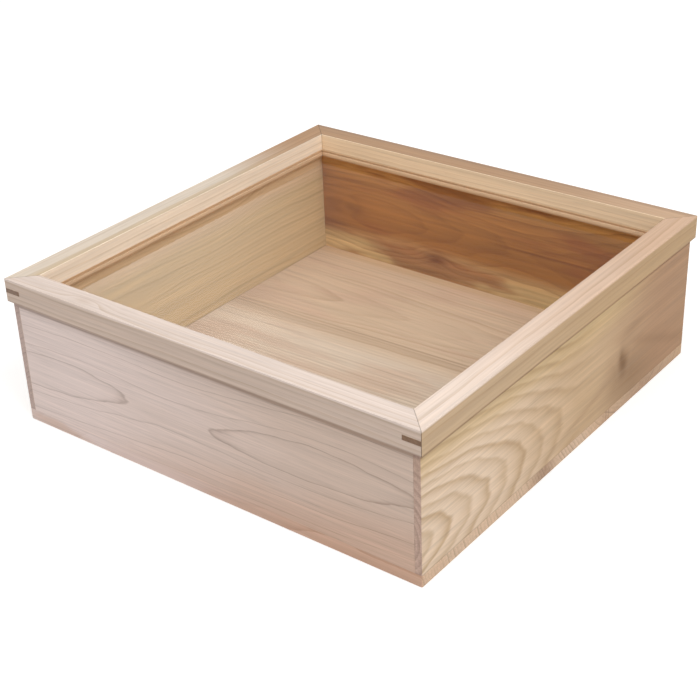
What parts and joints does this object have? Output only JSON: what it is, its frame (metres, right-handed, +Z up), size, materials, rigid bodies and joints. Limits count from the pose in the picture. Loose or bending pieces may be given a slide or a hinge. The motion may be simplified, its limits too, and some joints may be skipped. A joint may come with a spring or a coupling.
{
  "type": "wooden display case with glazed lift-off lid",
  "caption": "Square shallow wooden collection case with a mitred, glazed lid that lifts straight off and is located by glazing beads in the box mouth.",
  "frame": {"origin": "centre of the underside of the bottom board, where the case rests", "axes": "+Z up, +X to the right and -Y to the front, the face at the left of the picture"},
  "size_m": [0.4, 0.4, 0.13],
  "materials": {
    "bottom_wood": "bare sanded wood, pinkish beige",
    "front_wood": "bare sanded wood, pinkish grey beige",
    "back_wood": "bare sanded heartwood, reddish brown",
    "side_wood": "bare sanded wood, warm yellow tan",
    "lid_wood": "bare sanded wood, pale cream",
    "bead_wood": "bare sanded wood, golden tan",
    "clear_glass": "clear polished sheet",
    "nail_steel": "bright wire nail"
  },
  "bodies": {
    "box": {"bottom_board": "bottom_wood", "front_board": "front_wood", "back_board": "back_wood", "left_board": "side_wood", "right_board": "side_wood", "bottom_nails": "nail_steel"},
    "lid": {"lid_front_rail": "lid_wood", "lid_back_rail": "lid_wood", "lid_left_rail": "lid_wood", "lid_right_rail": "lid_wood", "glass_pane": "clear_glass", "glazing_bead_front": "bead_wood", "glazing_bead_back": "bead_wood", "glazing_bead_left": "bead_wood", "glazing_bead_right": "bead_wood"}
  },
  "joints": [
    {"name": "lid_lift", "type": "slide", "parent": "box", "child": "lid", "axis": [0, 0, 1], "range_m": [0, 0.15]}
  ]
}
